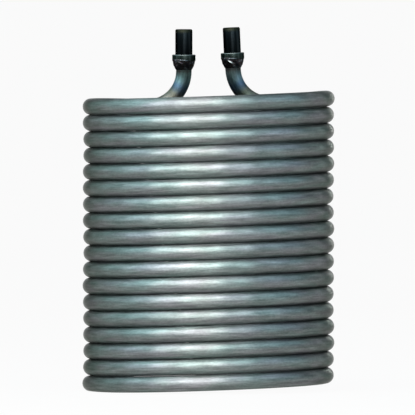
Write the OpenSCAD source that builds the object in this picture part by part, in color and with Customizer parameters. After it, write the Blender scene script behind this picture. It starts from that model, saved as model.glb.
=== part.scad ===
// Immersion wort chiller: a stainless tube wound into a close coil, which stands in the kettle
// while cold water runs through it. Both ends of the tube turn inside the coil and rise side by
// side from its middle, each into a weld-on collar that holds a spigot for a hose.
// Millimetres. +Z is up, the coil stands on z = 0 round the Z axis, and -Y is the front.

/* [Tube] */
// Outside diameter of the tube
tube_od = 12.7; // [11:0.1:13.5]
// Wall thickness of the tube
tube_wall = 1; // [0.8:0.1:1.6]

/* [Winding] */
// Centreline radius of the turns
coil_r = 96; // [90:1:130]
// Whole turns, to which the winding adds half a turn
whole_turns = 17; // [10:1:22]
// Gap between one turn and the next
turn_gap = 0.5; // [0.45:0.05:1.5]
// Depth of the flat that the chiller stands on, ground into the lowest tube
foot_flat = 0.5; // [0.3:0.05:0.6]

/* [Legs] */
// Centreline radius of the two bends that rise to the collars
riser_bend_r = 29; // [25:0.5:32]
// Centreline radius of the bends inside the coil
inner_bend_r = 26; // [22:0.5:28]
// Distance between the two risers at their welds
riser_spacing = 40; // [38:1:46]
// How far the risers stand behind the middle of the coil
riser_y = 24; // [20:1:26]
// How far the runs to the risers lie below the top end of the winding
cross_drop = 7.2; // [6.5:0.1:9]
// Straight tube between a riser's bend and its weld
riser_straight = 0.9; // [0.5:0.1:6]
// Lean of the supply riser towards the return riser, in degrees
supply_lean = 2.5; // [0:0.5:4]
// Turn of the bottom end across the floor, in degrees
floor_turn = 45; // [40:1:55]
// Gap between the inside of the winding and the top of the return leg
leg_gap = 1.5; // [1:0.1:3]

/* [Fittings] */
// Outside diameter of the collars
collar_od = 19; // [18:0.1:24]
// Length of a collar
collar_l = 5.4; // [5:0.1:12]
// Depth of the sockets in both ends of a collar
socket_l = 2.2; // [1.5:0.1:2.4]
// Chamfer round the top of a collar
collar_chamfer = 0.4; // [0.2:0.1:0.8]
// Chamfer round the bottom of a collar, where the weld starts
collar_foot_chamfer = 0.4; // [0.2:0.1:1.2]
// Outside diameter of the spigots
spigot_od = 14; // [13.5:0.1:15]
// Length of a spigot above its collar
spigot_l = 20.6; // [12:0.1:40]
// Bore of the spigots
spigot_bore = 9; // [7:0.1:9.2]
// Chamfer round the mouth of a spigot
spigot_chamfer = 0.8; // [0.3:0.1:1.2]
// Diameter of the tail that seats a spigot in its collar
tail_od = 11.5; // [11.2:0.1:12]
// Radial clearance of the tails and tubes in their sockets
socket_clearance = 0.05; // [0.02:0.01:0.1]
// Length of a weld along the tube
weld_l = 7.2; // [4:0.1:9]
// How far a weld swells past a straight cone from the tube to the collar
weld_bulge = 0.4; // [0.2:0.1:0.8]

/* [Hidden] */
$fn = 72;
weld_fn = 180;

// Each length of tube stops a hair short of the next, and a thin ring laps both ends, so that
// the lengths always join as one solid.
hair = 0.02;
lap_l = 4 * hair;
lap_skin = 0.01;

// How far a cut runs past the face that it opens
overcut = 1;

// The winding is a chain of half turns. Each lies in its own plane, tilted so that it climbs by
// half a pitch, and the planes meet along the tube, so the tube runs on without a kink.
pitch = tube_od + turn_gap;
half_rise = pitch / 2;
half_turns = 2 * whole_turns + 1;
tilt = atan(half_rise / 2 / coil_r);
arc_r = coil_r / cos(tilt);
floor_z = tube_od / 2 - foot_flat;
top_z = floor_z + half_turns * half_rise;
cross_z = top_z - cross_drop;

// Each end of the winding keeps the first bend of its leg and one tube diameter beyond it.
cut_run = tube_od;
tube_end = riser_straight + weld_l + socket_l;

// Work points are where the straight lengths of a leg would meet if its bends were sharp.
// A bend's setback runs from its work point to its tangent point.
function unit(v) = v / norm(v);
function setback(angle, r) = r * tan(angle / 2);
function turn_at(p, i) = acos(unit(p[i] - p[i - 1]) * unit(p[i + 1] - p[i]));
shortest_run = 0.5;
widest_turn = 100;

// The supply leg: back from the top end, across to its riser, and up.
supply_axis = [-sin(supply_lean), 0, cos(supply_lean)];
supply_riser = [riser_spacing / 2 + (riser_bend_r + riser_straight) * tan(supply_lean), riser_y, cross_z];
supply_work = [
    [coil_r, 0, top_z],
    [coil_r, setback(widest_turn, inner_bend_r), top_z],
    supply_riser,
    supply_riser + supply_axis,
];

// The return leg: back from the bottom end, inwards across the floor, up inside the winding,
// across to its riser, and up. How sharply it turns up from the floor depends on where its foot
// lands, and that in turn on the turn's setback, so the foot is found in a few rounds.
leg_r = coil_r - tube_od - leg_gap;
return_axis = [0, 0, 1];
return_riser = [-riser_spacing / 2, riser_y, cross_z];
return_top = [-sqrt(leg_r * leg_r - riser_y * riser_y), riser_y, cross_z];
floor_corner = [-coil_r, setback(floor_turn, inner_bend_r) + shortest_run, floor_z];
floor_way = [sin(floor_turn), cos(floor_turn), 0];
function foot_point(turn, rounds) =
    let (
        p = floor_corner + floor_way
            * (setback(floor_turn, inner_bend_r) + cut_run + shortest_run + setback(turn, inner_bend_r))
    )
    rounds == 0 ? p : foot_point(acos(floor_way * unit(return_top - p)), rounds - 1);
return_work = [
    [-coil_r, 0, floor_z],
    floor_corner,
    foot_point(widest_turn, 4),
    return_top,
    return_riser,
    return_riser + return_axis,
];

// An inner bend next to a riser's bend is drawn tighter where the run between them is short.
function fitted_r(p, i, kept) =
    min(inner_bend_r, (norm(p[i + 1] - p[i]) - setback(turn_at(p, i + 1), riser_bend_r) - kept)
        / tan(turn_at(p, i) / 2));
supply_radii = [0, fitted_r(supply_work, 1, cut_run + shortest_run), riser_bend_r];
return_radii = [0, inner_bend_r, inner_bend_r, fitted_r(return_work, 3, shortest_run), riser_bend_r];

// A bending table gives for each bend the straight run before it, the roll of the tube, the
// angle and the radius. Runs and angles are whole thousandths.
function thousandths(x) = round(x * 1000) / 1000;
function bending_table(p, radii, x, i = 1) =
    i > len(p) - 2 ? [] :
    let (
        u = unit(p[i] - p[i - 1]),
        v = unit(p[i + 1] - p[i]),
        angle = turn_at(p, i),
        inward = unit(v - u * (u * v)),
        before = i == 1 ? 0 : setback(turn_at(p, i - 1), radii[i - 1]),
        run = norm(p[i] - p[i - 1]) - before - setback(angle, radii[i]),
        roll = atan2(inward * cross(u, x), inward * x)
    )
    concat(
        [[thousandths(run), thousandths(roll), thousandths(angle), thousandths(radii[i])]],
        bending_table(p, radii, inward * cos(angle) - u * sin(angle), i + 1)
    );
supply_table = bending_table(supply_work, supply_radii, [-1, 0, 0]);
return_table = bending_table(return_work, return_radii, [1, 0, 0]);

// Points along the tube's centreline, to measure how near it comes to itself
step = 1 / 12;
turn_points = 2 / step;
function on_winding(t) =
    let (i = min(floor(t), half_turns - 1), a = 180 * (t - i), side = i % 2 == 0 ? -1 : 1)
    [side * coil_r * cos(a), side * arc_r * sin(a), floor_z + half_rise * (i + (1 - cos(a)) / 2)];
function on_bend(p, i, r, share) =
    let (
        u = unit(p[i] - p[i - 1]),
        v = unit(p[i + 1] - p[i]),
        m = unit(v - u * (u * v)),
        a = turn_at(p, i) * share
    )
    p[i] - u * setback(turn_at(p, i), r) + (u * sin(a) + m * (1 - cos(a))) * r;
function on_leg(p, radii) = [
    for (i = [1 : len(p) - 2]) each [
        for (s = [0 : 0.1 : 1]) on_bend(p, i, radii[i], s),
        if (i < len(p) - 2) for (s = [0.05 : 0.05 : 0.95])
            on_bend(p, i, radii[i], 1) * (1 - s) + on_bend(p, i + 1, radii[i + 1], 0) * s
    ]
];
function gap(a, b) = min([for (p = a, q = b) norm(p - q)]) - tube_od;
wound = [for (t = [0 : step : half_turns]) on_winding(t)];
last_wound = len(wound) - 1;
above = [for (i = [turn_points / 2 : last_wound]) wound[i]];
below = [for (i = [last_wound - 2 * turn_points : last_wound - turn_points / 2]) wound[i]];
self_gap = min([
    for (i = [0 : last_wound - turn_points], k = [-3 : 3])
        norm(wound[i] - wound[min(i + turn_points + k, last_wound)])
]) - tube_od;
supply_points = on_leg(supply_work, supply_radii);
return_points = on_leg(return_work, return_radii);
echo(str("Winding: ", half_turns / 2, " turns, ", half_turns * PI * arc_r / 1000, " m of tube"));
echo(str("Least gap of the winding to itself: ", self_gap, " mm"));
echo(str("Least gap of the supply leg to the winding: ", gap(supply_points, below), " mm"));
echo(str("Least gap of the return leg to the winding: ", gap(return_points, above), " mm"));
echo(str("Least gap of the two legs: ", gap(return_points, supply_points), " mm"));
echo(supply_table = supply_table);
echo(return_table = return_table);

// Where each spigot rises from its collar
function spigot_foot(p, axis) =
    p[len(p) - 2] + axis
        * (setback(turn_at(p, len(p) - 2), riser_bend_r) + riser_straight + weld_l + collar_l);
echo(supply_spigot_foot = spigot_foot(supply_work, supply_axis), axis = supply_axis);
echo(return_spigot_foot = spigot_foot(return_work, return_axis), axis = return_axis);

// The tube's wall, as the flat ring that every length of it is drawn from
module tube_section(skin = 0) {
    difference() {
        circle(d = tube_od + 2 * skin);
        circle(d = tube_od - 2 * tube_wall - 2 * skin);
    }
}

module lap() {
    translate([0, 0, -lap_l / 2]) linear_extrude(lap_l) tube_section(lap_skin);
}

// An arc of tube about the Z axis, a hair short at both ends
module short_arc(angle, r) {
    short = asin(hair / r);
    rotate([0, 0, short])
        rotate_extrude(angle = angle - 2 * short) translate([r, 0]) tube_section();
}

module half_turn(i) {
    front = i % 2 == 0;
    translate([0, 0, floor_z + half_rise * (i + 0.5)])
        rotate([0, front ? -tilt : tilt, 0])
            rotate([0, 0, front ? 180 : 0])
                short_arc(180, arc_r);
}

// The lap at the start of half turn i
module half_turn_lap(i) {
    translate([i % 2 == 0 ? -coil_r : coil_r, 0, floor_z + half_rise * i])
        rotate([90, 0, 0]) lap();
}

// A straight length up from the origin. It stops a hair short of an end that is lapped.
module straight(run, start_lapped, end_lapped) {
    start = start_lapped ? hair : 0;
    end = end_lapped ? hair : 0;
    translate([0, 0, start])
        linear_extrude(run - start - end) tube_section();
}

// Moves its children round a bend that starts upwards at the origin and turns towards +X
module round_bend(angle, r) {
    translate([r, 0, 0]) rotate([0, angle, 0]) translate([-r, 0, 0]) children();
}

module bend(angle, r) {
    lap();
    translate([r, 0, 0]) rotate([90, 0, 180]) short_arc(angle, r);
    round_bend(angle, r) lap();
}

// Moves its children along rows of a bending table, to the tangent point after bend to - 1.
// spent is how much of the first run lies behind.
module along(table, from, to, spent = 0) {
    if (from == to)
        children();
    else
        translate([0, 0, table[from][0] - spent]) rotate([0, 0, table[from][1]])
            round_bend(table[from][2], table[from][3])
                along(table, from + 1, to) children();
}

// The runs and bends of rows of a bending table, and a last straight run
module bent_tube(table, from, to, last_run, spent = 0, start_lapped = false) {
    for (i = [from : to - 1]) {
        run = table[i][0] - (i == from ? spent : 0);
        along(table, from, i, spent) {
            straight(run, i > from || start_lapped, true);
            translate([0, 0, run]) rotate([0, 0, table[i][1]]) bend(table[i][2], table[i][3]);
        }
    }
    along(table, from, to, spent) straight(last_run, true, false);
}

// The ends of the winding, with +Z along the tube and away from the winding
module at_top_end() {
    translate([coil_r, 0, top_z]) rotate([-90, 0, 0]) rotate([0, 0, 180]) children();
}

module at_bottom_end() {
    translate([-coil_r, 0, floor_z]) rotate([-90, 0, 0]) children();
}

// What stands below the floor is ground away, which leaves the flat foot.
module ground_flat() {
    difference() {
        children();
        translate([-2 * coil_r, -2 * coil_r, -tube_od])
            cube([4 * coil_r, 4 * coil_r, tube_od]);
    }
}

module winding() {
    color("silver") {
        ground_flat() {
            half_turn(0);
            half_turn_lap(0);
            at_bottom_end() bent_tube(return_table, 0, 1, cut_run, start_lapped = true);
        }
        for (i = [1 : half_turns - 1]) {
            half_turn(i);
            half_turn_lap(i);
        }
        half_turn_lap(half_turns);
        at_top_end() bent_tube(supply_table, 0, 1, cut_run, start_lapped = true);
    }
}

module supply_leg() {
    color("slategray")
        at_top_end() along(supply_table, 0, 1) translate([0, 0, cut_run])
            bent_tube(supply_table, 1, 2, tube_end, spent = cut_run);
}

module return_leg() {
    color("slategray")
        ground_flat()
            at_bottom_end() along(return_table, 0, 1) translate([0, 0, cut_run])
                bent_tube(return_table, 1, 4, tube_end, spent = cut_run);
}

// The fittings are drawn upright on the foot of their weld, then moved onto their riser.
module on_supply() {
    at_top_end() along(supply_table, 0, 2) translate([0, 0, riser_straight]) children();
}

module on_return() {
    at_bottom_end() along(return_table, 0, 4) translate([0, 0, riser_straight]) children();
}

// Turned from bar: a socket for the tube below, one for the spigot's tail above, and a land
// between them that stops both
module collar() {
    translate([0, 0, weld_l])
        difference() {
            union() {
                cylinder(d1 = collar_od - 2 * collar_foot_chamfer, d2 = collar_od, h = collar_foot_chamfer);
                translate([0, 0, collar_foot_chamfer])
                    cylinder(d = collar_od, h = collar_l - collar_foot_chamfer - collar_chamfer);
                translate([0, 0, collar_l - collar_chamfer])
                    cylinder(d1 = collar_od, d2 = collar_od - 2 * collar_chamfer, h = collar_chamfer);
            }
            translate([0, 0, -overcut])
                cylinder(d = tube_od + 2 * socket_clearance, h = socket_l + overcut);
            translate([0, 0, -overcut])
                cylinder(d = spigot_bore, h = collar_l + 2 * overcut);
            translate([0, 0, collar_l - socket_l])
                cylinder(d = tail_od + 2 * socket_clearance, h = socket_l + overcut);
        }
}

// The hose's end: a plain spigot with a reduced tail
module spigot() {
    body_l = spigot_l - spigot_chamfer;
    translate([0, 0, weld_l + collar_l])
        difference() {
            union() {
                translate([0, 0, -socket_l])
                    cylinder(d = tail_od, h = socket_l);
                cylinder(d = spigot_od, h = body_l);
                translate([0, 0, body_l])
                    cylinder(d1 = spigot_od, d2 = spigot_od - 2 * spigot_chamfer, h = spigot_chamfer);
            }
            translate([0, 0, -socket_l - overcut])
                cylinder(d = spigot_bore, h = socket_l + spigot_l + 2 * overcut);
        }
}

// The weld's outside is a shallow arc from the tube to the chamfered foot of the collar. It
// stands weld_bulge off its chord, which gives its radius and centre.
module weld() {
    tube_r = tube_od / 2;
    rim_r = collar_od / 2 - collar_foot_chamfer;
    chord = [rim_r - tube_r, weld_l];
    bead_r = (chord * chord / 4 + weld_bulge * weld_bulge) / (2 * weld_bulge);
    outward = unit([weld_l, tube_r - rim_r]);
    rotate_extrude()
        intersection() {
            translate([tube_r, 0]) square(chord);
            translate([tube_r, 0] + chord / 2 - outward * (bead_r - weld_bulge))
                circle(r = bead_r, $fn = weld_fn);
        }
}

module supply_collar() { color("dimgray") on_supply() collar(); }
module return_collar() { color("dimgray") on_return() collar(); }
module supply_spigot() { color("darkslategray") on_supply() spigot(); }
module return_spigot() { color("darkslategray") on_return() spigot(); }
module supply_weld() { color("gray") on_supply() weld(); }
module return_weld() { color("gray") on_return() weld(); }

winding();
supply_leg();
return_leg();
supply_collar();
return_collar();
supply_spigot();
return_spigot();
supply_weld();
return_weld();
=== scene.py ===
# %% [markdown]
# # An immersion wort chiller
#
# A chiller of this kind is one long stainless tube, wound into a close coil. It stands in a
# kettle of hot wort while cold water runs through it. Both ends of the tube turn into the coil
# and rise side by side from its middle, and each ends in a weld, a collar and a hose spigot.
#
# The CAD frame brings the solids at their real size. This lesson bends the tube again, as smooth
# surfaces that know where they are along its length, so that its finish can run along it.

import bpy
import math
from mathutils import Matrix, Vector


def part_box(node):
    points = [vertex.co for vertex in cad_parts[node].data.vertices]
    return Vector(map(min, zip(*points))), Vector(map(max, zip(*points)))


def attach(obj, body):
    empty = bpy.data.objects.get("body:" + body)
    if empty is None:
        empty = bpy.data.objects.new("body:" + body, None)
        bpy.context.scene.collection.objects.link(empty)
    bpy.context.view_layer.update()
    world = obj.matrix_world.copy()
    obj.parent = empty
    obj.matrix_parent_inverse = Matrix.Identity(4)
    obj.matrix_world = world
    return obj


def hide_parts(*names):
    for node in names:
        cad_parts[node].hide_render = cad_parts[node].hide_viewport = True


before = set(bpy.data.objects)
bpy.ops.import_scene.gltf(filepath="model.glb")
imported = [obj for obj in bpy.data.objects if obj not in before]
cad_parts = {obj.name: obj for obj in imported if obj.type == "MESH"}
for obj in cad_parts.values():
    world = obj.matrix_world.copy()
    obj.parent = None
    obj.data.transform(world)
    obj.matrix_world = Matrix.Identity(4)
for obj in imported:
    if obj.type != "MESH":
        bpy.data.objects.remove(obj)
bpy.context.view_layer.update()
print("nodes:", ", ".join(sorted(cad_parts)))

# %% [markdown]
# ## The sizes
#
# A tube bender works from a drawing: the tube's diameter, the radius of each bend and the points
# where the straight lengths would meet. The same few sizes drive every bend below. Blender works
# in metres, so each size in millimetres is multiplied by MM where it is written.

# %% The sizes of the tube and its route
MM = 0.001
TUBE_R = 6.35 * MM
TUBE_WALL = 1.0 * MM
TURN_GAP = 0.5 * MM
FOOT_FLAT = 0.5 * MM
COIL_R = 96 * MM
HALF_TURNS = 35
RISER_BEND_R = 29 * MM
INNER_BEND_R = 26 * MM
RISER_SPACING = 40 * MM
RISER_Y = 24 * MM
CROSS_DROP = 7.2 * MM
RISER_STRAIGHT = 0.9 * MM
SUPPLY_LEAN = math.radians(2.5)
FLOOR_TURN = math.radians(45)
LEG_GAP = 1.5 * MM
SHORTEST_RUN = 0.5 * MM
WIDEST_TURN = math.radians(100)

PITCH = 2 * TUBE_R + TURN_GAP
HALF_RISE = PITCH / 2
TILT = math.atan(HALF_RISE / 2 / COIL_R)
ARC_R = COIL_R / math.cos(TILT)
FLOOR_Z = TUBE_R - FOOT_FLAT
TOP_Z = FLOOR_Z + HALF_TURNS * HALF_RISE
CROSS_Z = TOP_Z - CROSS_DROP
CUT_RUN = 2 * TUBE_R
print("turns:", HALF_TURNS / 2, " tube in them, m:", round(HALF_TURNS * math.pi * ARC_R, 3))

# %% The fittings' sizes
COLLAR_R = 9.5 * MM
COLLAR_L = 5.4 * MM
COLLAR_CHAMFER = 0.4 * MM
COLLAR_FOOT_R = COLLAR_R - COLLAR_CHAMFER
SOCKET_L = 2.2 * MM
TUBE_SOCKET_R = 6.4 * MM
TAIL_SOCKET_R = 5.8 * MM
TAIL_R = 5.75 * MM
SPIGOT_R = 7 * MM
SPIGOT_L = 20.6 * MM
SPIGOT_CHAMFER = 0.8 * MM
SPIGOT_BORE_R = 4.5 * MM
WELD_L = 7.2 * MM
WELD_BULGE = 0.4 * MM
TUBE_END = RISER_STRAIGHT + WELD_L + SOCKET_L

# %% [markdown]
# ## The camera
#
# The coil is seen square on, from barely above the horizon, through a long lens. A long lens far
# away keeps the turns parallel, as a short one close by wouldn't. It can be too long, though: a
# view from another side stands off until the whole coil fits, and that has to stay within the
# distance at which such a view is clipped, a hundred times the radius of the coil's box.

# %% The camera
FRAME_WIDTH = 336.6 * MM
CAMERA_DISTANCE = 14.0
CAMERA_ELEVATION = math.radians(1.2)
AIM = Vector((-0.8 * MM, 0, 148.4 * MM))
SENSOR_WIDTH = 36.0
CLIP_END = 1000

back = Vector((0, -math.cos(CAMERA_ELEVATION), math.sin(CAMERA_ELEVATION)))
bpy.ops.object.camera_add(
    location=AIM + back * CAMERA_DISTANCE,
    rotation=(math.pi / 2 - CAMERA_ELEVATION, 0, 0))
camera = bpy.context.object
camera.name = "camera"
camera.data.sensor_width = SENSOR_WIDTH
camera.data.lens = SENSOR_WIDTH * CAMERA_DISTANCE / FRAME_WIDTH
camera.data.clip_end = CLIP_END
bpy.context.scene.camera = camera
print("lens, mm:", round(camera.data.lens))

# %% [markdown]
# ## The route of the tube
#
# The route is a row of work points, with a bend at each. A bend starts before its work point and
# ends after it by the same setback. The winding itself needs no points: it is a chain of half
# turns, each in a plane tilted so that it climbs by half a pitch.

# %% Helpers for the route
def setback(angle, radius):
    return radius * math.tan(angle / 2)


def turn_at(points, i):
    return (points[i] - points[i - 1]).angle(points[i + 1] - points[i])


def fitted_radius(points, i, kept):
    """The radius of a bend that has little room before the riser's bend."""
    room = (points[i + 1] - points[i]).length - setback(turn_at(points, i + 1), RISER_BEND_R) - kept
    return min(INNER_BEND_R, room / math.tan(turn_at(points, i) / 2))


# %% The supply leg's work points
supply_axis = Vector((-math.sin(SUPPLY_LEAN), 0, math.cos(SUPPLY_LEAN)))
riser_shift = (RISER_BEND_R + RISER_STRAIGHT) * math.tan(SUPPLY_LEAN)
supply_riser = Vector((RISER_SPACING / 2 + riser_shift, RISER_Y, CROSS_Z))
supply_points = [
    Vector((COIL_R, 0, TOP_Z)),
    Vector((COIL_R, setback(WIDEST_TURN, INNER_BEND_R), TOP_Z)),
    supply_riser,
    supply_riser + supply_axis,
]
supply_radii = [0, fitted_radius(supply_points, 1, CUT_RUN + SHORTEST_RUN), RISER_BEND_R]
print("supply bends, degrees:", [round(math.degrees(turn_at(supply_points, i)), 1) for i in (1, 2)])

# %% The return leg's work points
FOOT_ROUNDS = 5

leg_r = COIL_R - 2 * TUBE_R - LEG_GAP
return_axis = Vector((0, 0, 1))
return_riser = Vector((-RISER_SPACING / 2, RISER_Y, CROSS_Z))
return_top = Vector((-math.sqrt(leg_r ** 2 - RISER_Y ** 2), RISER_Y, CROSS_Z))
floor_way = Vector((math.sin(FLOOR_TURN), math.cos(FLOOR_TURN), 0))
floor_corner = Vector((-COIL_R, setback(FLOOR_TURN, INNER_BEND_R) + SHORTEST_RUN, FLOOR_Z))
# The foot's place and the bend there depend on each other, and settle within a few rounds.
turn_up = WIDEST_TURN
for _ in range(FOOT_ROUNDS):
    reach = setback(FLOOR_TURN, INNER_BEND_R) + CUT_RUN + SHORTEST_RUN + setback(turn_up, INNER_BEND_R)
    foot = floor_corner + floor_way * reach
    turn_up = floor_way.angle(return_top - foot)
return_points = [
    Vector((-COIL_R, 0, FLOOR_Z)), floor_corner, foot, return_top, return_riser,
    return_riser + return_axis,
]
return_radii = [
    0, INNER_BEND_R, INNER_BEND_R, fitted_radius(return_points, 3, SHORTEST_RUN), RISER_BEND_R]
print("return bends, degrees:",
      [round(math.degrees(turn_at(return_points, i)), 1) for i in (1, 2, 3, 4)])

# %% [markdown]
# ## Bending the tube
#
# A bender feeds the tube straight, then turns it round a die, again and again. Two operators do
# the same to a ring of vertices in edit mode: extrude feeds it straight, and spin turns it round
# an axis. Each adds its rings in order, so ring number and corner number say where a vertex is,
# and the finish can follow the tube. Spin turns clockwise about its axis, so the axis is turned
# over to turn the ring by the right hand.

# %% Rings, runs and bends
SIDES = 24
BEND_STEP = math.radians(4.5)
RUN_STEP = 12 * MM
UP = Vector((0, 0, 1))


def deselect_all():
    if bpy.context.mode != "OBJECT":
        bpy.ops.object.mode_set(mode="OBJECT")
    bpy.ops.object.select_all(action="DESELECT")


def start_ring(name, centre, along, corner):
    """Adds a tube's first ring, square to along and with a corner towards corner, and opens it."""
    deselect_all()
    side = along.cross(corner).normalized()
    turned = Matrix((corner.normalized(), side, along.normalized())).transposed()
    bpy.ops.mesh.primitive_circle_add(
        vertices=SIDES, radius=TUBE_R, location=centre, rotation=turned.to_euler())
    tube = bpy.context.object
    tube.name = name
    bpy.ops.object.transform_apply(location=True, rotation=True, scale=True)
    bpy.ops.object.mode_set(mode="EDIT")
    bpy.ops.mesh.select_all(action="SELECT")
    return tube


def feed(way, length, stations):
    """Feeds the ring straight on by length, with a ring at least every RUN_STEP."""
    steps = max(1, math.ceil(length / RUN_STEP))
    step = length / steps
    for _ in range(steps):
        bpy.ops.mesh.extrude_region_move(TRANSFORM_OT_translate={"value": way.normalized() * step})
        stations.append(stations[-1] + step)


def turn(centre, axis, angle, radius, stations):
    """Turns the ring round an axis, by the right hand."""
    steps = max(1, math.ceil(angle / BEND_STEP))
    bpy.ops.mesh.spin(steps=steps, angle=angle, center=centre, axis=-axis)
    for _ in range(steps):
        stations.append(stations[-1] + radius * angle / steps)


def bend_at(points, i, radius, stations):
    """The bend at one work point."""
    before = (points[i] - points[i - 1]).normalized()
    axis = before.cross(points[i + 1] - points[i]).normalized()
    angle = turn_at(points, i)
    centre = points[i] - before * setback(angle, radius) + axis.cross(before) * radius
    turn(centre, axis, angle, radius, stations)


def run_before(points, radii, i):
    """The straight length that ends at the bend at one work point."""
    behind = 0 if i == 1 else setback(turn_at(points, i - 1), radii[i - 1])
    return (points[i] - points[i - 1]).length - behind - setback(turn_at(points, i), radii[i])


def rings_of(tube):
    bpy.ops.object.mode_set(mode="OBJECT")
    places = [v.co.copy() for v in tube.data.vertices]
    return [places[k:k + SIDES] for k in range(0, len(places), SIDES)]


def centre_of(ring):
    return sum(ring, Vector()) / len(ring)


# %% [markdown]
# ## The winding
#
# The winding starts at its joint with the return leg, on the floor inside the coil. It runs out
# to the coil's left side, climbs seventeen and a half turns and ends at its joint with the
# supply leg. It is worked from that first joint, as it would be wound from a reel.

# %% The winding
winding_stations = [0.0]
joint_below = floor_corner + floor_way * (setback(FLOOR_TURN, INNER_BEND_R) + CUT_RUN)
winding = start_ring("winding_tube", joint_below, -floor_way, UP)
feed(-floor_way, CUT_RUN, winding_stations)
bend_at([joint_below, floor_corner, Vector((-COIL_R, -COIL_R, FLOOR_Z))], 1, INNER_BEND_R,
        winding_stations)
feed(Vector((0, -1, 0)), SHORTEST_RUN, winding_stations)
for i in range(HALF_TURNS):
    lean = TILT if i % 2 else -TILT
    turn(Vector((0, 0, FLOOR_Z + HALF_RISE * (i + 0.5))), Vector((math.sin(lean), 0, math.cos(lean))),
         math.pi, ARC_R, winding_stations)
feed(Vector((0, 1, 0)), run_before(supply_points, supply_radii, 1), winding_stations)
bend_at(supply_points, 1, supply_radii[1], winding_stations)
supply_way = (supply_points[2] - supply_points[1]).normalized()
feed(supply_way, CUT_RUN, winding_stations)
winding_rings = rings_of(winding)
joint_above = centre_of(winding_rings[-1])
print("rings:", len(winding_rings), " tube, m:", round(winding_stations[-1], 3))

# %% [markdown]
# ## The two legs
#
# Each leg starts on a ring at one end of the winding, corner for corner, so that the tube runs on
# without a seam. The return leg turns up from the floor, climbs inside the coil, crosses to its
# riser and turns up again. The supply leg only crosses and turns up.

# %% The supply leg
supply_stations = [winding_stations[-1]]
supply = start_ring("supply_leg_tube", joint_above, supply_way, winding_rings[-1][0] - joint_above)
feed(supply_way, run_before(supply_points, supply_radii, 2) - CUT_RUN, supply_stations)
bend_at(supply_points, 2, supply_radii[2], supply_stations)
feed(supply_axis, TUBE_END, supply_stations)
supply_rings = rings_of(supply)
print("supply leg ends at, mm:", [round(x / MM, 2) for x in centre_of(supply_rings[-1])])

# %% The return leg
return_stations = [0.0]
back_leg = start_ring("return_leg_tube", joint_below, floor_way, winding_rings[0][0] - joint_below)
for i in (2, 3, 4):
    way = return_points[i] - return_points[i - 1]
    spent = CUT_RUN if i == 2 else 0
    feed(way, run_before(return_points, return_radii, i) - spent, return_stations)
    bend_at(return_points, i, return_radii[i], return_stations)
feed(return_axis, TUBE_END, return_stations)
return_rings = rings_of(back_leg)
print("return leg ends at, mm:", [round(x / MM, 2) for x in centre_of(return_rings[-1])])

# %% [markdown]
# ## What each vertex knows
#
# Three numbers go on every vertex, for the finish to follow: which side of the tube it is on, as
# the cosine and sine of the angle round it, and how far along the tube it is. A cosine and a sine
# go round without the jump that one angle would have. Angle 0 is the outside of the coil and a
# quarter turn on is the top. A fourth number says how far the nearest weld is, because a weld's
# heat tints the steel round it, and a direction says which way the tube runs there.
#
# The wall comes last, as a solidify modifier that thickens the surface inwards. The two tubes that
# stand on the floor are then cut flat there by a bisect, which stands for the grinder.

# %% Finishing a tube
SMOOTH_ANGLE = math.radians(35)
OVAL_TALLER = 0.22 * MM
OVAL_FLATTER = 0.15 * MM
OVAL_FROM, OVAL_FADE = 60 * MM, 60 * MM
WANDER = 0.8 * MM
CUT_SLACK = 0.001 * MM
TUBE_WELD_AT = [-(return_stations[-1] - SOCKET_L - WELD_L), supply_stations[-1] - SOCKET_L - WELD_L]


def angles_from(ring, outward, upward):
    centre = centre_of(ring)
    return [math.atan2((c - centre).dot(upward), (c - centre).dot(outward)) for c in ring]


def way_at(centres, k):
    """The way from the ring before ring k to the ring after it."""
    return centres[min(k + 1, len(centres) - 1)] - centres[max(k - 1, 0)]


def level_angles(rings):
    """Angles round a tube that lies level, ring by ring. 0 is outward and a quarter turn is up."""
    centres = [centre_of(ring) for ring in rings]
    found = []
    for k, ring in enumerate(rings):
        along = way_at(centres, k)
        outward = along.cross(UP).normalized()
        found.append(angles_from(ring, outward, outward.cross(along).normalized()))
    return found


def mark_places(tube, rings, angles, stations):
    mesh = tube.data
    centres = [centre_of(ring) for ring in rings]
    places, ways, heats = [], [], []
    for k, (ring_angles, station) in enumerate(zip(angles, stations)):
        way = way_at(centres, k).normalized()
        from_weld = min(abs(station - weld) for weld in TUBE_WELD_AT)
        for angle in ring_angles:
            places.extend((math.cos(angle), math.sin(angle), station))
            ways.extend(way)
            heats.append(from_weld)
    for name, kind, field, values in (
            ("tube_place", "FLOAT_VECTOR", "vector", places),
            ("tube_way", "FLOAT_VECTOR", "vector", ways),
            ("from_weld", "FLOAT", "value", heats)):
        mesh.attributes.new(name, kind, "POINT")
        mesh.attributes[name].data.foreach_set(field, values)


def wander(station):
    """How far a turn is wound inside the widest one: two slow waves that never line up."""
    turns = station / (2 * math.pi * ARC_R)
    return WANDER * (0.5 - 0.3 * math.sin(5.2 * turns + 1.1) - 0.2 * math.sin(1.9 * turns + 2.0))


def press_oval(tube, rings, angles, stations):
    """Presses the wound tube a little oval, taller than deep, and lets its turns wander inwards."""
    spots = []
    for ring, ring_angles, station in zip(rings, angles, stations):
        centre = centre_of(ring)
        inward = -Vector((centre.x, centre.y, 0)).normalized() * wander(station)
        from_end = min(station, stations[-1] - station)
        share = min(1, max(0, (from_end - OVAL_FROM) / OVAL_FADE))
        for corner, angle in zip(ring, ring_angles):
            out = (corner - centre) - UP * (corner - centre).dot(UP)
            rise = UP * OVAL_TALLER * math.sin(angle)
            spots.extend(corner + (rise + inward - out / TUBE_R * OVAL_FLATTER) * share)
    tube.data.vertices.foreach_set("co", spots)
    tube.data.update()


def activate(piece):
    deselect_all()
    piece.select_set(True)
    bpy.context.view_layer.objects.active = piece


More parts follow.
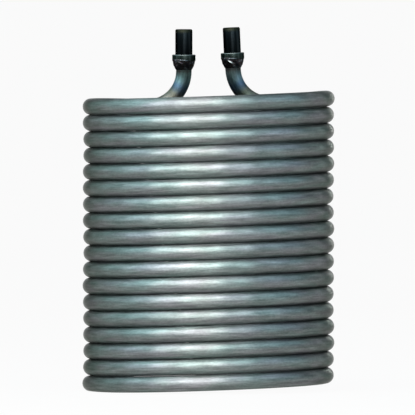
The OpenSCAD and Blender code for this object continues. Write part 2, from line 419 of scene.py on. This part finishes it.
def thicken(tube):
    activate(tube)
    bpy.ops.object.mode_set(mode="EDIT")
    bpy.ops.mesh.select_all(action="SELECT")
    bpy.ops.mesh.normals_make_consistent(inside=False)
    bpy.ops.object.mode_set(mode="OBJECT")
    wall = tube.modifiers.new("wall", "SOLIDIFY")
    wall.thickness = TUBE_WALL
    wall.offset = -1
    bpy.ops.object.modifier_apply(modifier=wall.name)


def grind_foot(tube):
    """Cuts a tube flat at the floor. A vertex less than CUT_SLACK below it would stay there."""
    activate(tube)
    bpy.ops.object.mode_set(mode="EDIT")
    bpy.ops.mesh.select_all(action="SELECT")
    bpy.ops.mesh.bisect(
        plane_co=(0, 0, 0), plane_no=UP, use_fill=True, clear_inner=True, threshold=CUT_SLACK)
    bpy.ops.object.mode_set(mode="OBJECT")


def smooth(piece):
    activate(piece)
    bpy.ops.object.shade_smooth_by_angle(angle=SMOOTH_ANGLE)


def report(piece, node):
    """Prints how far the piece's box lies from its CAD node's."""
    places = [v.co for v in piece.data.vertices]
    low = Vector([min(p[k] for p in places) for k in range(3)])
    high = Vector([max(p[k] for p in places) for k in range(3)])
    cad_low, cad_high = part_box(node)
    gap = max(abs(a) for a in (*(low - cad_low), *(high - cad_high)))
    print(f"{piece.name}: {len(piece.data.polygons)} faces, box off by {gap / MM:.2f} mm")


def carried_angles(rings, along):
    """Angles that a tube carries on unchanged through its bends, from a nearly level first ring."""
    outward = along.cross(UP).normalized()
    return [angles_from(rings[0], outward, outward.cross(along))] * len(rings)


# %% The three tubes, finished
winding_angles = level_angles(winding_rings)
supply_angles = carried_angles(supply_rings, supply_way)
return_angles = carried_angles(return_rings, -floor_way)
mark_places(winding, winding_rings, winding_angles, winding_stations)
press_oval(winding, winding_rings, winding_angles, winding_stations)
mark_places(supply, supply_rings, supply_angles, supply_stations)
mark_places(back_leg, return_rings, return_angles, [-station for station in return_stations])

for tube, node, stands in (
        (winding, "winding", True), (supply, "supply_leg", False), (back_leg, "return_leg", True)):
    thicken(tube)
    if stands:
        grind_foot(tube)
    smooth(tube)
    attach(tube, "root")
    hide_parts(node)
    report(tube, node)

# %% [markdown]
# ## The turned fittings
#
# The collars and spigots are turned from bar. Here a lathe is a ring of vertices that is drawn
# up the axis and resized at each step of the profile, until its last ring is bridged to its
# first. The profile is written as radius and height. A bevel modifier then breaks the sharp
# edges, as a file does, and each piece is moved onto its riser at the end.

# %% A lathe
LATHE_SIDES = 72
EDGE_BREAK = 0.2 * MM


def turned(name, profile, sides=LATHE_SIDES):
    """A ring-shaped piece turned to a closed profile of (radius, height), about the Z axis."""
    deselect_all()
    radius, height = profile[0]
    bpy.ops.mesh.primitive_circle_add(vertices=sides, radius=radius, location=(0, 0, height))
    piece = bpy.context.object
    piece.name = name
    bpy.ops.object.transform_apply(location=True)
    bpy.ops.object.mode_set(mode="EDIT")
    bpy.ops.mesh.select_all(action="SELECT")
    for next_radius, next_height in profile[1:]:
        bpy.ops.mesh.extrude_region_move(
            TRANSFORM_OT_translate={"value": (0, 0, next_height - height)})
        size = next_radius / radius
        bpy.ops.transform.resize(value=(size, size, 1), center_override=(0, 0, next_height))
        radius, height = next_radius, next_height
    bpy.ops.object.mode_set(mode="OBJECT")
    last = len(piece.data.vertices) - sides
    for edge in piece.data.edges:
        ends = edge.vertices
        edge.select = max(ends) < sides or min(ends) >= last
    bpy.ops.object.mode_set(mode="EDIT")
    bpy.ops.mesh.select_mode(type="EDGE")
    bpy.ops.mesh.bridge_edge_loops()
    bpy.ops.mesh.select_mode(type="VERT")
    bpy.ops.mesh.select_all(action="SELECT")
    bpy.ops.mesh.normals_make_consistent(inside=False)
    bpy.ops.object.mode_set(mode="OBJECT")
    return piece


def break_edges(piece):
    bevel = piece.modifiers.new("edges", "BEVEL")
    bevel.width = EDGE_BREAK
    bevel.segments = 2
    bevel.limit_method = "ANGLE"
    bpy.ops.object.modifier_apply(modifier=bevel.name)


# %% Where the fittings go
def riser_place(points, radii, axis):
    """The matrix that moves a piece from the Z axis onto a riser, at the foot of its weld."""
    last = len(points) - 2
    foot_of_weld = points[last] + axis * (
        setback(turn_at(points, last), radii[last]) + RISER_STRAIGHT)
    lean = UP.rotation_difference(axis).to_matrix().to_4x4()
    return Matrix.Translation(foot_of_weld) @ lean


RISERS = {
    "supply": riser_place(supply_points, supply_radii, supply_axis),
    "return": riser_place(return_points, return_radii, return_axis),
}


def fit(piece, riser, node):
    """Moves a finished piece onto its riser and lets it stand for its CAD node."""
    smooth(piece)
    upright = [k for v in piece.data.vertices for k in v.co]
    piece.data.attributes.new("fitting_place", "FLOAT_VECTOR", "POINT")
    piece.data.attributes["fitting_place"].data.foreach_set("vector", upright)
    piece.matrix_world = RISERS[riser]
    bpy.ops.object.transform_apply(location=True, rotation=True, scale=True)
    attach(piece, "root")
    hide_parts(node)
    report(piece, node)


# %% [markdown]
# ### Collars and spigots
#
# A collar has a socket in its foot for the tube and one in its top for the spigot's tail. The
# spigot is plain, with a chamfered mouth. Nothing of the sockets shows, but they keep the pieces
# from cutting through one another.

# %% Their profiles
collar_profile = [
    (COLLAR_FOOT_R, 0), (COLLAR_R, COLLAR_CHAMFER), (COLLAR_R, COLLAR_L - COLLAR_CHAMFER),
    (COLLAR_FOOT_R, COLLAR_L), (TAIL_SOCKET_R, COLLAR_L), (TAIL_SOCKET_R, COLLAR_L - SOCKET_L),
    (SPIGOT_BORE_R, COLLAR_L - SOCKET_L), (SPIGOT_BORE_R, SOCKET_L), (TUBE_SOCKET_R, SOCKET_L),
    (TUBE_SOCKET_R, 0),
]
spigot_profile = [
    (SPIGOT_R, 0), (SPIGOT_R, SPIGOT_L - SPIGOT_CHAMFER), (SPIGOT_R - SPIGOT_CHAMFER, SPIGOT_L),
    (SPIGOT_BORE_R, SPIGOT_L), (SPIGOT_BORE_R, -SOCKET_L), (TAIL_R, -SOCKET_L), (TAIL_R, 0),
]


def lifted(profile, lift):
    """A profile raised above the foot of the weld."""
    return [(radius, height + lift) for radius, height in profile]


# %% The collars and the spigots
collars, spigots = [], []
for riser in RISERS:
    collar = turned(f"{riser}_collar_turned", lifted(collar_profile, WELD_L))
    break_edges(collar)
    fit(collar, riser, f"{riser}_collar")
    collars.append(collar)
    spigot = turned(f"{riser}_spigot_turned", lifted(spigot_profile, WELD_L + COLLAR_L))
    break_edges(spigot)
    fit(spigot, riser, f"{riser}_spigot")
    spigots.append(spigot)

# %% [markdown]
# ### Weld beads
#
# A bead is laid round the tube by hand, so its skin is uneven: it swells from the tube up to the
# collar in lumps, and where one lap of it ends, a slanting ridge stands. The ring is turned first,
# with many steps up its outside. The ridge is pushed out by a formula, and two displace modifiers
# then push the skin in and out, one in lumps and one in fine ripples. The inside stays round,
# because it sits on the tube.

# %% The skin of a bead
BEAD_STEPS = 20
BEAD_SIDES = 120
LUMP, LUMP_SIZE = 0.7 * MM, 3.2 * MM
RIPPLE, RIPPLE_SIZE = 0.25 * MM, 0.9 * MM
RIDGE_H, RIDGE_W, RIDGE_SLOPE = 0.9 * MM, 0.8 * MM, -0.85
RIDGE_SPREAD = math.radians(24)
RIDGE_Z = 3.9 * MM
# Each riser's ridge has an azimuth and a strength, which sets both its height and its painted glint.
RIDGES = {"supply": (math.radians(-12), 1.0), "return": (math.radians(-30), 0.62)}


def bead_profile():
    outside = []
    for k in range(BEAD_STEPS + 1):
        share = k / BEAD_STEPS
        swell = WELD_BULGE * 4 * share * (1 - share)
        outside.append((TUBE_R + (COLLAR_FOOT_R - TUBE_R) * share + swell, WELD_L * share))
    return outside + [(TUBE_R, WELD_L), (TUBE_R, WELD_L / 2)]


def skin_share(k):
    """How far ring k of the skin may move: hardly at the tube, and little at the collar."""
    return math.sin(math.pi * min(max(k / BEAD_STEPS, 0.04), 0.9))


def lay_ridge(bead, middle, strength):
    """Pushes a slanting ridge out of the skin, and marks its crest for a painted glint. Azimuth 0 is
    front.
    """
    painted_glint = [0.0] * len(bead.data.vertices)
    for vertex in bead.data.vertices[:(BEAD_STEPS + 1) * BEAD_SIDES]:
        x, y, z = vertex.co
        azimuth = math.atan2(x, -y)
        off = (z - RIDGE_Z - RIDGE_SLOPE * TUBE_R * azimuth) / RIDGE_W
        round_it = (azimuth - middle) / RIDGE_SPREAD
        share = strength * math.exp(-off * off - round_it * round_it)
        painted_glint[vertex.index] = share
        push = RIDGE_H * share * skin_share(vertex.index // BEAD_SIDES)
        vertex.co += Vector((x, y, 0)).normalized() * push
    bead.data.attributes.new("painted_glint", "FLOAT", "POINT")
    bead.data.attributes["painted_glint"].data.foreach_set("value", painted_glint)


def roughen(bead, strength, size, label):
    """Pushes the bead's skin in and out, by a cloud texture of the given size."""
    texture = bpy.data.textures.new(f"{bead.name}_{label}", "CLOUDS")
    texture.noise_scale = size
    texture.noise_depth = 1
    push = bead.modifiers.new("push", "DISPLACE")
    push.texture = texture
    push.texture_coords = "LOCAL"
    push.strength = strength
    push.mid_level = 0.5
    push.vertex_group = "skin"
    bpy.ops.object.modifier_apply(modifier=push.name)


# %% The weld beads
welds = []
for riser in RISERS:
    bead = turned(f"{riser}_weld_bead", bead_profile(), BEAD_SIDES)
    skin = bead.vertex_groups.new(name="skin")
    for k in range(BEAD_STEPS + 1):
        skin.add(list(range(k * BEAD_SIDES, (k + 1) * BEAD_SIDES)), skin_share(k), "REPLACE")
    lay_ridge(bead, *RIDGES[riser])
    roughen(bead, LUMP, LUMP_SIZE, "lumps")
    roughen(bead, RIPPLE, RIPPLE_SIZE, "ripples")
    fit(bead, riser, f"{riser}_weld")
    welds.append(bead)

# %% [markdown]
# ## The finish
#
# Polished stainless tube is drawn through a die and buffed along its length, so its fine lines
# and smears run along it. Weld heat tints it: a dull straw farthest out, then blue and teal, and
# nearly black beside the weld.

# %% Helpers for node trees
def add(tree, kind, **values):
    """Adds a node, and sets its properties and unlinked inputs by name."""
    node = tree.nodes.new(kind)
    for name, value in values.items():
        if name in node.inputs:
            node.inputs[name].default_value = value
        else:
            setattr(node, name, value)
    return node


def ramp(tree, fac, stops):
    """A colour ramp through (position, colour) stops, fed by a socket."""
    node = tree.nodes.new("ShaderNodeValToRGB")
    elements = node.color_ramp.elements
    while len(elements) > 1:
        elements.remove(elements[-1])
    elements[0].position, elements[0].color = stops[0][0], (*stops[0][1], 1)
    for position, colour in stops[1:]:
        elements.new(position).color = (*colour, 1)
    tree.links.new(fac, node.inputs["Fac"])
    return node.outputs["Color"]


def math_node(tree, operation, a, b=0.5, c=0.5):
    node = tree.nodes.new("ShaderNodeMath")
    node.operation = operation
    for socket, value in zip(node.inputs, (a, b, c)):
        if isinstance(value, bpy.types.NodeSocket):
            tree.links.new(value, socket)
        else:
            socket.default_value = value
    return node.outputs[0]


def mix_colour(tree, kind, share, a, b):
    node = tree.nodes.new("ShaderNodeMix")
    node.data_type = "RGBA"
    node.blend_type = kind
    for socket, value in ((node.inputs[0], share), (node.inputs[6], a), (node.inputs[7], b)):
        if isinstance(value, bpy.types.NodeSocket):
            tree.links.new(value, socket)
        elif isinstance(value, tuple):
            socket.default_value = (*value, 1)
        else:
            socket.default_value = value
    return node.outputs[2]


# %% Streaks along the tube, as a group that every steel uses
STREAK_INPUTS = ("Across", "Along", "Detail", "Rough")


def streak_group():
    group = bpy.data.node_groups.new("streaks", "ShaderNodeTree")
    group.interface.new_socket("Place", in_out="INPUT", socket_type="NodeSocketVector")
    for name in STREAK_INPUTS:
        group.interface.new_socket(name, in_out="INPUT", socket_type="NodeSocketFloat")
    group.interface.new_socket("Value", in_out="OUTPUT", socket_type="NodeSocketFloat")
    put = group.nodes.new("NodeGroupInput")
    out = group.nodes.new("NodeGroupOutput")
    scale = group.nodes.new("ShaderNodeCombineXYZ")
    for k, name in enumerate(("Across", "Across", "Along")):
        group.links.new(put.outputs[name], scale.inputs[k])
    stretched = add(group, "ShaderNodeVectorMath", operation="MULTIPLY")
    group.links.new(put.outputs["Place"], stretched.inputs[0])
    group.links.new(scale.outputs[0], stretched.inputs[1])
    noise = add(group, "ShaderNodeTexNoise", Scale=1.0)
    group.links.new(stretched.outputs[0], noise.inputs["Vector"])
    group.links.new(put.outputs["Detail"], noise.inputs["Detail"])
    group.links.new(put.outputs["Rough"], noise.inputs["Roughness"])
    group.links.new(noise.outputs["Fac"], out.inputs["Value"])
    return group


STREAKS = streak_group()


def streaks(tree, place, across, along, detail, rough):
    """A noise over place, with one scale across the tube and another along it."""
    node = tree.nodes.new("ShaderNodeGroup")
    node.node_tree = STREAKS
    tree.links.new(place, node.inputs["Place"])
    for name, value in zip(STREAK_INPUTS, (across, along, detail, rough)):
        node.inputs[name].default_value = value
    return node.outputs["Value"]


def steel(name):
    """A new metal material, with its tree and its shader."""
    material = bpy.data.materials.new(name)
    material.use_nodes = True
    tree = material.node_tree
    shader = tree.nodes["Principled BSDF"]
    shader.inputs["Metallic"].default_value = 1
    return material, tree, shader


def bump(tree, shader, height, strength, distance):
    node = add(tree, "ShaderNodeBump", Strength=strength, Distance=distance)
    tree.links.new(height, node.inputs["Height"])
    tree.links.new(node.outputs["Normal"], shader.inputs["Normal"])


def give(piece, material):
    piece.data.materials.clear()
    piece.data.materials.append(material)


# %% The tube's finish
DRAWN = 0.9
GRAIN_TURN = 0.25
HEAT_REACH = 90 * MM
HEAT_RAGGED = 5 * MM


def split(tree, vector):
    node = add(tree, "ShaderNodeSeparateXYZ")
    tree.links.new(vector, node.inputs[0])
    return node.outputs


def scaled(tree, value, low, high):
    """The value's place between low and high, as 0 to 1."""
    node = add(tree, "ShaderNodeMapRange")
    tree.links.new(value, node.inputs["Value"])
    node.inputs["From Min"].default_value = low
    node.inputs["From Max"].default_value = high
    return node.outputs["Result"]


def wound_colour(tree, drifts):
    """The wound tube's own colour: one dark steel all round, which drifts a little along the tube."""
    return ramp(tree, drifts, [(0.34, (0.155, 0.169, 0.164)), (0.66, (0.202, 0.22, 0.216))])


def weld_tint(tree, heat):
    """The colours that a weld's heat leaves, outwards: near black, teal, blue and a dull straw."""
    return ramp(tree, heat, [
        (0.0, (0.019, 0.019, 0.019)), (0.012, (0.034, 0.040, 0.038)), (0.03, (0.053, 0.076, 0.074)),
        (0.07, (0.076, 0.118, 0.120)), (0.11, (0.080, 0.125, 0.137)), (0.15, (0.046, 0.076, 0.110)),
        (0.19, (0.038, 0.055, 0.068)), (0.24, (0.065, 0.068, 0.053)), (0.4, (0.10, 0.104, 0.09)),
        (1.0, (0.16, 0.175, 0.17))])


def tube_finish(name):
    material, tree, shader = steel(name)
    place = add(tree, "ShaderNodeAttribute", attribute_name="tube_place").outputs["Vector"]
    heat = add(tree, "ShaderNodeAttribute", attribute_name="from_weld").outputs["Fac"]
    drifts = streaks(tree, place, 1.6, 14.0, 2.0, 0.5)
    smears = streaks(tree, place, 4.0, 60.0, 3.0, 0.6)
    ticks = streaks(tree, place, 5.0, 420.0, 3.0, 0.6)
    lines = streaks(tree, place, 40.0, 90.0, 2.0, 0.7)

    ragged = math_node(tree, "MULTIPLY_ADD", drifts, HEAT_RAGGED, -HEAT_RAGGED / 2)
    warmth = scaled(tree, math_node(tree, "ADD", heat, ragged), 0, HEAT_REACH)
    near = ramp(tree, warmth, [(0.5, (1, 1, 1)), (0.9, (0, 0, 0))])
    colour = mix_colour(tree, "MIX", near, wound_colour(tree, drifts), weld_tint(tree, warmth))

    dulled = ramp(tree, smears, [(0.34, (0.62, 0.65, 0.64)), (0.66, (1.2, 1.2, 1.2))])
    colour = mix_colour(tree, "MULTIPLY", 0.8, colour, dulled)
    ticked = ramp(tree, ticks, [(0.42, (0.62, 0.66, 0.64)), (0.6, (1.15, 1.15, 1.15))])
    colour = mix_colour(tree, "MULTIPLY", 0.3, colour, ticked)
    tones = ramp(tree, streaks(tree, place, 0.8, 26.0, 2.0, 0.5), [
        (0.36, (1.05, 0.97, 1.03)), (0.5, (1.0, 1.0, 1.0)), (0.62, (0.93, 1.02, 1.0))])
    colour = mix_colour(tree, "MULTIPLY", 1.0, colour, tones)
    tree.links.new(colour, shader.inputs["Base Color"])

    shader.inputs["Specular Tint"].default_value = (0.4, 0.41, 0.39, 1)
    rough = ramp(tree, smears, [(0.3, (0.32, 0.32, 0.32)), (0.7, (0.40, 0.40, 0.40))])
    tree.links.new(rough, shader.inputs["Roughness"])
    way = add(tree, "ShaderNodeAttribute", attribute_name="tube_way").outputs["Vector"]
    tree.links.new(way, shader.inputs["Tangent"])
    shader.inputs["Anisotropic"].default_value = DRAWN
    shader.inputs["Anisotropic Rotation"].default_value = GRAIN_TURN
    bump(tree, shader, lines, 0.06, 0.2 * MM)
    return material


tube_steel = tube_finish("tube_steel")
for tube in (winding, supply, back_leg):
    give(tube, tube_steel)

# %% [markdown]
# ### The fittings' finishes
#
# The spigots are dark, with a paler band round the mouth where a hose has rubbed. The collars are
# a dark grey green, with a painted highlight along their top edge. The bead's scorched skin climbs
# unevenly over the foot of each collar, so collar and bead share one set of scorch colours, and
# each knows its own place above the foot of the weld.

# %% Colours for the fittings
def scorch(tree, place):
    """The mottled brown, purple and blue of a weld's skin."""
    patches = streaks(tree, place, 420.0, 420.0, 3.0, 0.6)
    return ramp(tree, patches, [
        (0.32, (0.018, 0.022, 0.026)), (0.44, (0.035, 0.028, 0.036)), (0.51, (0.055, 0.045, 0.036)),
        (0.57, (0.03, 0.04, 0.055)), (0.70, (0.16, 0.17, 0.175))])


def dark_metal(name, roughness):
    """A metal whose edges stay dark, with its tree, its shader and the place on the fitting."""
    material, tree, shader = steel(name)
    shader.inputs["Roughness"].default_value = roughness
    shader.inputs["Specular Tint"].default_value = (0.3, 0.32, 0.31, 1)
    place = add(tree, "ShaderNodeAttribute", attribute_name="fitting_place").outputs["Vector"]
    return material, tree, shader, place


# %% Collars
CLIMB, CLIMB_FALL, CLIMB_WAVE = 0.9 * MM, 1.2 * MM, 1.6 * MM
CLIMB_EDGE = 0.25 * MM
# How far below the collar's top its painted highlight reaches.
PAINTED_HIGHLIGHT_BAND = 0.8 * MM


def collar_finish(name):
    material, tree, shader, place = dark_metal(name, 0.34)
    x, _, z = split(tree, place)
    marks = streaks(tree, place, 60.0, 2600.0, 2.0, 0.7)
    patches = streaks(tree, place, 160.0, 160.0, 3.0, 0.6)
    rubs = streaks(tree, place, 240.0, 14.0, 3.0, 0.5)
    turned_colour = ramp(tree, rubs, [
        (0.36, (0.005, 0.008, 0.0075)), (0.5, (0.013, 0.019, 0.017)), (0.64, (0.037, 0.048, 0.045))])
    top = WELD_L + COLLAR_L
    # A band under the top edge is painted pale, as a painted highlight along the collar's chamfer.
    painted_highlight = ramp(tree, scaled(tree, z, top - PAINTED_HIGHLIGHT_BAND, top), [
        (0.3, (0, 0, 0)), (0.5, (1, 1, 1))])
    turned_colour = mix_colour(tree, "MIX", painted_highlight, turned_colour, (0.14, 0.16, 0.157))

    wave = math_node(tree, "MULTIPLY_ADD", patches, CLIMB_WAVE, WELD_L + CLIMB - CLIMB_WAVE / 2)
    edge = math_node(tree, "MULTIPLY_ADD", x, -CLIMB_FALL / COLLAR_R, wave)
    above = scaled(tree, math_node(tree, "SUBTRACT", z, edge), -CLIMB_EDGE, CLIMB_EDGE)
    colour = mix_colour(tree, "MIX", above, scorch(tree, place), turned_colour)
    tree.links.new(colour, shader.inputs["Base Color"])
    cut_marks = math_node(tree, "MULTIPLY", marks, 0.3)
    step = math_node(tree, "ADD", cut_marks, math_node(tree, "MULTIPLY", above, -1.0))
    bump(tree, shader, step, 0.5, 0.3 * MM)
    return material


# %% Spigots
MOUTH_BAND = 4 * MM


def spigot_finish(name):
    material, tree, shader, place = dark_metal(name, 0.36)
    marks = streaks(tree, place, 60.0, 1800.0, 2.0, 0.7)
    rubs = streaks(tree, place, 240.0, 14.0, 3.0, 0.5)
    colour = ramp(tree, rubs, [
        (0.36, (0.002, 0.003, 0.0035)), (0.5, (0.004, 0.006, 0.007)), (0.62, (0.013, 0.017, 0.019))])
    mouth = WELD_L + COLLAR_L + SPIGOT_L
    rubbed = ramp(tree, scaled(tree, split(tree, place)["Z"], mouth - MOUTH_BAND, mouth), [
        (0.1, (0, 0, 0)), (0.6, (0.8, 0.8, 0.8)), (0.9, (1, 1, 1))])
    colour = mix_colour(tree, "MIX", rubbed, colour, (0.014, 0.015, 0.010))
    tree.links.new(colour, shader.inputs["Base Color"])
    bump(tree, shader, marks, 0.15, 0.2 * MM)
    return material


# %% Weld beads
def weld_finish(name):
    material, tree, shader, place = dark_metal(name, 0.28)
    crest = add(tree, "ShaderNodeAttribute", attribute_name="painted_glint").outputs["Fac"]
    # The ridge's crest is painted pale, as a painted glint on the bead.
    painted_glint_mask = ramp(tree, crest, [(0.45, (0, 0, 0)), (0.75, (1, 1, 1))])
    colour = mix_colour(tree, "MIX", painted_glint_mask, scorch(tree, place), (0.19, 0.21, 0.205))
    tree.links.new(colour, shader.inputs["Base Color"])
    bump(tree, shader, streaks(tree, place, 900.0, 900.0, 2.0, 0.6), 0.3, 0.3 * MM)
    return material


for pieces, material in (
        (collars, collar_finish("collar_steel")), (spigots, spigot_finish("spigot_steel")),
        (welds, weld_finish("weld_steel"))):
    for piece in pieces:
        give(piece, material)

# %% [markdown]
# ## The stage
#
# A plain pale floor and a pale world stand round the coil. The floor is grey, but the camera and
# the reflections see it mostly as an even glow, through which the coil's shadow still shows.
#
# A fan of soft panels runs from behind the coil's left side round the front to its right, as a
# broad window would, with a smaller and lower panel in front. Two narrow lamps behind the right
# side draw the bright edges there.

# %% The floor
FLOOR_GLOW = 0.95
FLOOR_SIZE = 400
FLOOR_COLOUR = (0.25, 0.25, 0.25, 1)

deselect_all()
bpy.ops.mesh.primitive_plane_add(size=FLOOR_SIZE, location=(0, 0, 0))
floor = bpy.context.object
floor.name = "floor"
floor_paint = bpy.data.materials.new("floor_paint")
floor_paint.use_nodes = True
tree = floor_paint.node_tree
shader = tree.nodes["Principled BSDF"]
shader.inputs["Base Color"].default_value = FLOOR_COLOUR
shader.inputs["Roughness"].default_value = 0.9
shader.inputs["Specular IOR Level"].default_value = 0.0
white = add(tree, "ShaderNodeEmission", Color=(1, 1, 1, 1), Strength=1.0)
rays = add(tree, "ShaderNodeLightPath")
seen = math_node(tree, "MAXIMUM", rays.outputs["Is Camera Ray"], rays.outputs["Is Glossy Ray"])
seen = math_node(tree, "MAXIMUM", seen, rays.outputs["Is Transmission Ray"])
mixed = add(tree, "ShaderNodeMixShader")
tree.links.new(math_node(tree, "MULTIPLY", seen, FLOOR_GLOW), mixed.inputs[0])
tree.links.new(shader.outputs[0], mixed.inputs[1])
tree.links.new(white.outputs[0], mixed.inputs[2])
tree.links.new(mixed.outputs[0], tree.nodes["Material Output"].inputs["Surface"])
give(floor, floor_paint)


# %% The lamps
LAMP_TARGET = Vector((0, 0, 0.14))
LAMP_DISTANCE = 2.0
PANEL_ELEVATION = 34
PANEL_SIZE = (1.2, 1.7)


def soft_lamp(name, azimuth, elevation, size, power, colour):
    """An area lamp that faces the coil. Azimuth 0 is the front, and turns to the right."""
    a, e = math.radians(azimuth), math.radians(elevation)
    way = Vector((math.sin(a) * math.cos(e), -math.cos(a) * math.cos(e), math.sin(e)))
    deselect_all()
    bpy.ops.object.light_add(
        type="AREA", location=LAMP_TARGET + way * LAMP_DISTANCE,
        rotation=way.to_track_quat("Z", "Y").to_euler())
    lamp = bpy.context.object
    lamp.name = name
    lamp.data.shape = "RECTANGLE"
    lamp.data.size, lamp.data.size_y = size
    lamp.data.energy = power
    lamp.data.color = colour


# Each panel has an azimuth, a power and a colour, which is bluer towards the ends of the fan.
WINDOW = (
    (-128, 5.0, (0.70, 0.94, 0.96)), (-98, 8.0, (0.64, 0.92, 1.0)), (-68, 18, (0.70, 0.92, 1.0)),
    (-38, 39, (0.92, 0.98, 1.0)), (-8, 42, (1.0, 1.0, 0.99)), (22, 24, (0.82, 0.95, 1.0)),
    (52, 8.5, (0.66, 0.90, 1.0)), (82, 5.5, (0.56, 0.84, 1.0)),
)
for azimuth, power, colour in WINDOW:
    soft_lamp(f"window_{azimuth}", azimuth, PANEL_ELEVATION, PANEL_SIZE, power, colour)
soft_lamp("low_window", 2, 24, (1.0, 0.5), 1.6, (0.92, 0.98, 1.0))
soft_lamp("edge", 128, 24, (0.03, 1.4), 1.3, (1.0, 1.0, 1.0))
soft_lamp("rim", 158, 8, (0.06, 0.4), 1.0, (1.0, 1.0, 1.0))

# %% The world
# Far off, the floor has the tone of its glow, and so has the horizon, so that no edge shows there.
HORIZON = (FLOOR_GLOW, FLOOR_GLOW, FLOOR_GLOW)
world = bpy.data.worlds.new("pale_room")
bpy.context.scene.world = world
world.use_nodes = True
tree = world.node_tree
direction = add(tree, "ShaderNodeSeparateXYZ")
tree.links.new(add(tree, "ShaderNodeTexCoord").outputs["Generated"], direction.inputs[0])
sky = ramp(tree, direction.outputs["Z"], [
    (0.0, HORIZON), (0.03, HORIZON), (0.14, (0.62, 0.65, 0.68)),
    (0.5, (0.50, 0.54, 0.58)), (1.0, (0.36, 0.39, 0.42))])
# The room is dimmer at its two sides, and bluer on the right, above the horizon only.
above = ramp(tree, direction.outputs["Z"], [(0.02, (0, 0, 0)), (0.09, (1, 1, 1))])
sides = ramp(tree, math_node(tree, "MULTIPLY_ADD", direction.outputs["X"], 0.5, 0.5), [
    (0.0, (0.84, 0.92, 0.90)), (0.38, (1.0, 1.0, 1.0)), (0.62, (1.0, 1.0, 1.0)),
    (1.0, (0.76, 0.92, 1.0))])
sky = mix_colour(tree, "MULTIPLY", above, sky, sides)
tree.links.new(sky, tree.nodes["Background"].inputs["Color"])
bpy.context.scene.view_settings.view_transform = "Standard"
